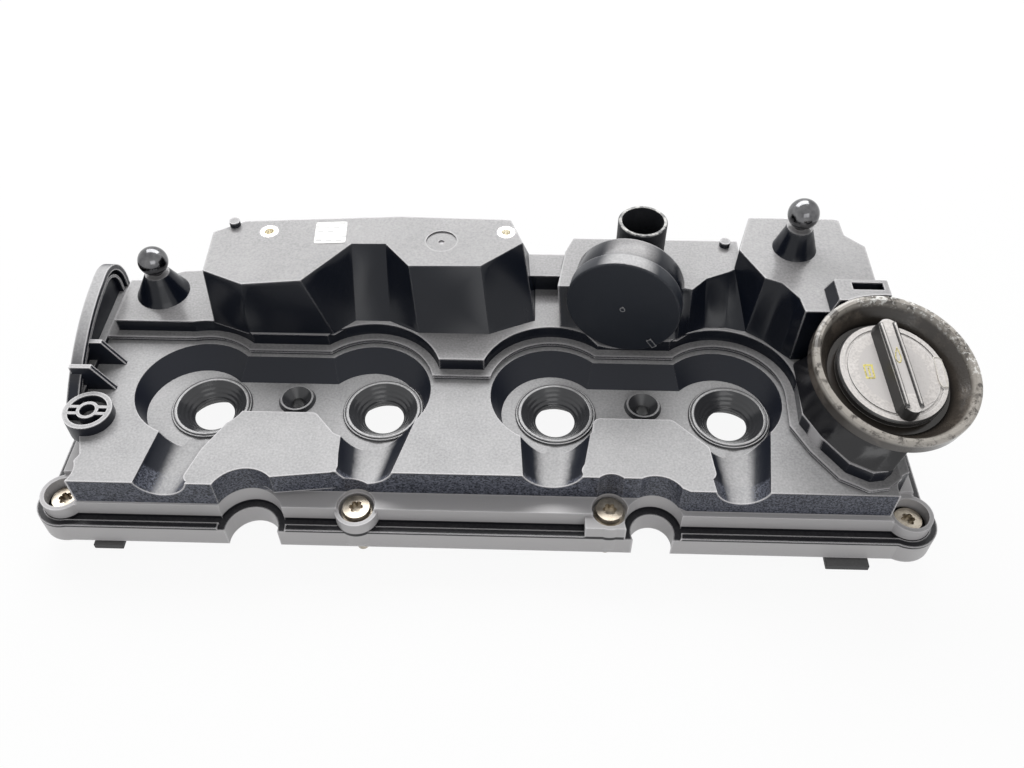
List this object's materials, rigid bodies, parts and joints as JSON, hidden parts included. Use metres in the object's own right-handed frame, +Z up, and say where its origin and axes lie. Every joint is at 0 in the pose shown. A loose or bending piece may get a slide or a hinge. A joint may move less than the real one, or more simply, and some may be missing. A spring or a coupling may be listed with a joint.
{
  "type": "engine valve cover",
  "caption": "Black moulded engine valve cover with a breather housing, pressure regulator, ball studs, injector seals and an oil filler funnel with a turning cap.",
  "frame": {"origin": "on the joint face, under the middle of the row of four injector bores", "axes": "+X along the engine towards the oil filler, +Y from the injector side to the breather housing, +Z up, away from the cylinder head"},
  "size_m": [0.4517, 0.1707, 0.1258],
  "materials": {
    "cover_plastic": "moulded black, fine grain",
    "housing_plastic": "moulded black, satin",
    "inner_plastic": "moulded black",
    "lid_plastic": "moulded black, fine grain",
    "diaphragm_rubber": "smooth",
    "plate_steel": "pressed sheet",
    "spring_steel": "drawn wire",
    "spigot_plastic": "black, worn bright on its rim",
    "funnel_plastic": "glossy with brown wear",
    "cap_plastic": "black, satin",
    "seal_rubber": "smooth",
    "injector_rubber": "smooth, oily",
    "clamp_rubber": "smooth",
    "bolt_steel": "zinc-nickel plated",
    "sleeve_steel": "plated",
    "insert_brass": "knurled",
    "gasket_rubber": "matt",
    "stud_metal": "dark, polished"
  },
  "bodies": {
    "cover": {"base_cover": "cover_plastic", "breather_housing": "housing_plastic", "baffle_plate": "inner_plastic", "regulator_lid": "lid_plastic", "regulator_diaphragm": "diaphragm_rubber", "regulator_spring": "spring_steel", "breather_spigot": "spigot_plastic", "filler_funnel": "funnel_plastic", "injector_seal_1": "injector_rubber", "injector_seal_2": "injector_rubber", "injector_seal_3": "injector_rubber", "injector_seal_4": "injector_rubber", "clamp_bolt_seal_1": "clamp_rubber", "clamp_bolt_seal_2": "clamp_rubber", "cover_bolts": "bolt_steel", "bolt_sleeves": "sleeve_steel", "threaded_inserts": "insert_brass", "cover_gasket": "gasket_rubber", "ball_stud_left": "stud_metal", "ball_stud_right": "stud_metal"},
    "cap_seal_ring": {"filler_cap_seal": "seal_rubber"},
    "cap": {"filler_cap": "cap_plastic"},
    "regulator_valve": {"regulator_plate": "plate_steel"}
  },
  "joints": [
    {"name": "cap_lift", "type": "slide", "parent": "cover", "child": "cap_seal_ring", "axis": [0.11, -0.2049, 0.9726], "range_m": [0, 0.04]},
    {"name": "cap_turn", "type": "hinge", "parent": "cap_seal_ring", "child": "cap", "pos_m": [0.2, -0.0115, 0.084], "axis": [-0.11, 0.2049, -0.9726], "range_deg": [0, 65]},
    {"name": "regulator_travel", "type": "slide", "parent": "cover", "child": "regulator_valve", "axis": [-0.225, -0.9744, 0], "range_m": [0, 0.0025], "stiffness_N_per_m": 400, "deforming": ["regulator_spring", "regulator_diaphragm"]}
  ]
}
